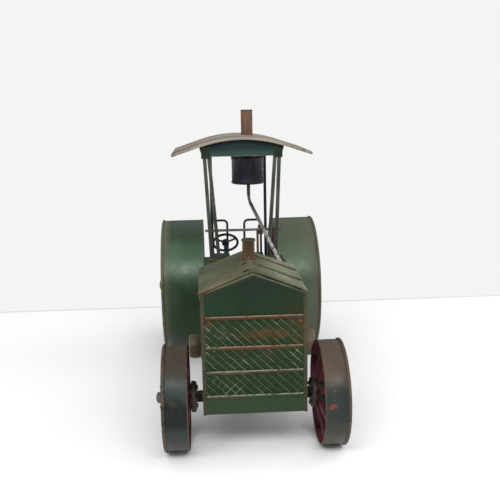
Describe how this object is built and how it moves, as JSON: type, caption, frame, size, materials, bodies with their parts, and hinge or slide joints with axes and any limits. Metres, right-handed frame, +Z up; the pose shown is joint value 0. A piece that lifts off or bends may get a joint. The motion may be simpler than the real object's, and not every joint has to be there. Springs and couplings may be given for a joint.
{
  "type": "model farm tractor",
  "caption": "Tinplate model of an early farm tractor with a gabled radiator hood, mesh grille, spoked wheels, swivelling front axle, canopy and exhaust stack.",
  "frame": {"origin": "on the ground, under the middle of the part's box", "axes": "+Z up, -Y towards the front (radiator), +X towards the driver's left"},
  "size_m": [0.15, 0.308, 0.2245],
  "materials": {
    "green_paint": "worn satin",
    "olive_paint": "weathered matt",
    "roof_tin": "weathered matt",
    "red_paint": "worn satin",
    "rust_brown": "aged bronze-brown",
    "dark_iron": "dark, oily",
    "black_paint": "satin"
  },
  "bodies": {
    "chassis": {"frame_rail_left": "black_paint", "frame_rail_right": "black_paint", "front_bolster": "black_paint", "kingpin": "dark_iron", "drawbar": "black_paint", "rear_axle": "dark_iron", "rear_bearings": "black_paint", "axle_nuts_rear": "dark_iron", "radiator_panel": "green_paint", "grille_mesh": "green_paint", "grille_bars": "rust_brown", "hood_side_left": "green_paint", "hood_side_right": "green_paint", "hood_rear_panel": "green_paint", "hood_roof": "olive_paint", "hood_front_band": "olive_paint", "hood_rear_band": "olive_paint", "filler_neck": "rust_brown", "engine_casing": "green_paint", "casing_lid": "green_paint", "exhaust_pipe": "black_paint", "muffler": "black_paint", "exhaust_stack": "rust_brown", "roof_sheet": "roof_tin", "front_fascia": "green_paint", "rear_fascia": "green_paint", "post_left": "green_paint", "post_right": "green_paint", "brace_left": "green_paint", "brace_right": "green_paint", "rear_posts": "black_paint", "post_feet": "rust_brown", "crossbar": "green_paint", "platform": "green_paint", "platform_bearers": "black_paint", "seats": "black_paint", "seat_pedestals": "black_paint", "seat_hoop_left": "black_paint", "seat_hoop_right": "black_paint", "lever_bracket": "dark_iron"},
    "front_steer": {"front_axle": "dark_iron", "axle_nuts_front": "dark_iron"},
    "front_wheel_left": {"front_rim_left": "green_paint", "front_spokes_left": "red_paint", "front_hub_left": "dark_iron"},
    "front_wheel_right": {"front_rim_right": "green_paint", "front_spokes_right": "red_paint", "front_hub_right": "dark_iron"},
    "rear_wheel_left": {"rear_rim_left": "green_paint", "rear_spokes_left": "red_paint", "rear_hub_left": "dark_iron"},
    "rear_wheel_right": {"rear_rim_right": "green_paint", "rear_spokes_right": "red_paint", "rear_hub_right": "dark_iron"},
    "crank": {"crankshaft": "dark_iron", "flywheel": "rust_brown", "belt_pulley": "rust_brown"},
    "steering": {"steering_wheel": "black_paint", "steering_column": "black_paint"},
    "lever": {"hand_lever": "rust_brown"}
  },
  "joints": [
    {"name": "steer", "type": "hinge", "parent": "chassis", "child": "front_steer", "pos_m": [0, -0.118, 0.036], "axis": [0, 0, 1], "range_deg": [-12, 12]},
    {"name": "front_left_spin", "type": "hinge", "parent": "front_steer", "child": "front_wheel_left", "pos_m": [0.052, -0.118, 0.036], "axis": [1, 0, 0], "continuous": true},
    {"name": "front_right_spin", "type": "hinge", "parent": "front_steer", "child": "front_wheel_right", "pos_m": [-0.052, -0.118, 0.036], "axis": [1, 0, 0], "continuous": true},
    {"name": "rear_left_spin", "type": "hinge", "parent": "chassis", "child": "rear_wheel_left", "pos_m": [0.051, 0.092, 0.062], "axis": [1, 0, 0], "continuous": true},
    {"name": "rear_right_spin", "type": "hinge", "parent": "chassis", "child": "rear_wheel_right", "pos_m": [-0.051, 0.092, 0.062], "axis": [1, 0, 0], "continuous": true},
    {"name": "crank_spin", "type": "hinge", "parent": "chassis", "child": "crank", "pos_m": [0, -0.048, 0.0478], "axis": [1, 0, 0], "continuous": true},
    {"name": "steering_spin", "type": "hinge", "parent": "chassis", "child": "steering", "pos_m": [-0.014, -0.005, 0.1196], "axis": [0, 0.788, 0.6157], "continuous": true},
    {"name": "lever_swing", "type": "hinge", "parent": "chassis", "child": "lever", "pos_m": [0.014, 0.024, 0.0777], "axis": [1, 0, 0], "range_deg": [-15, 15]}
  ]
}
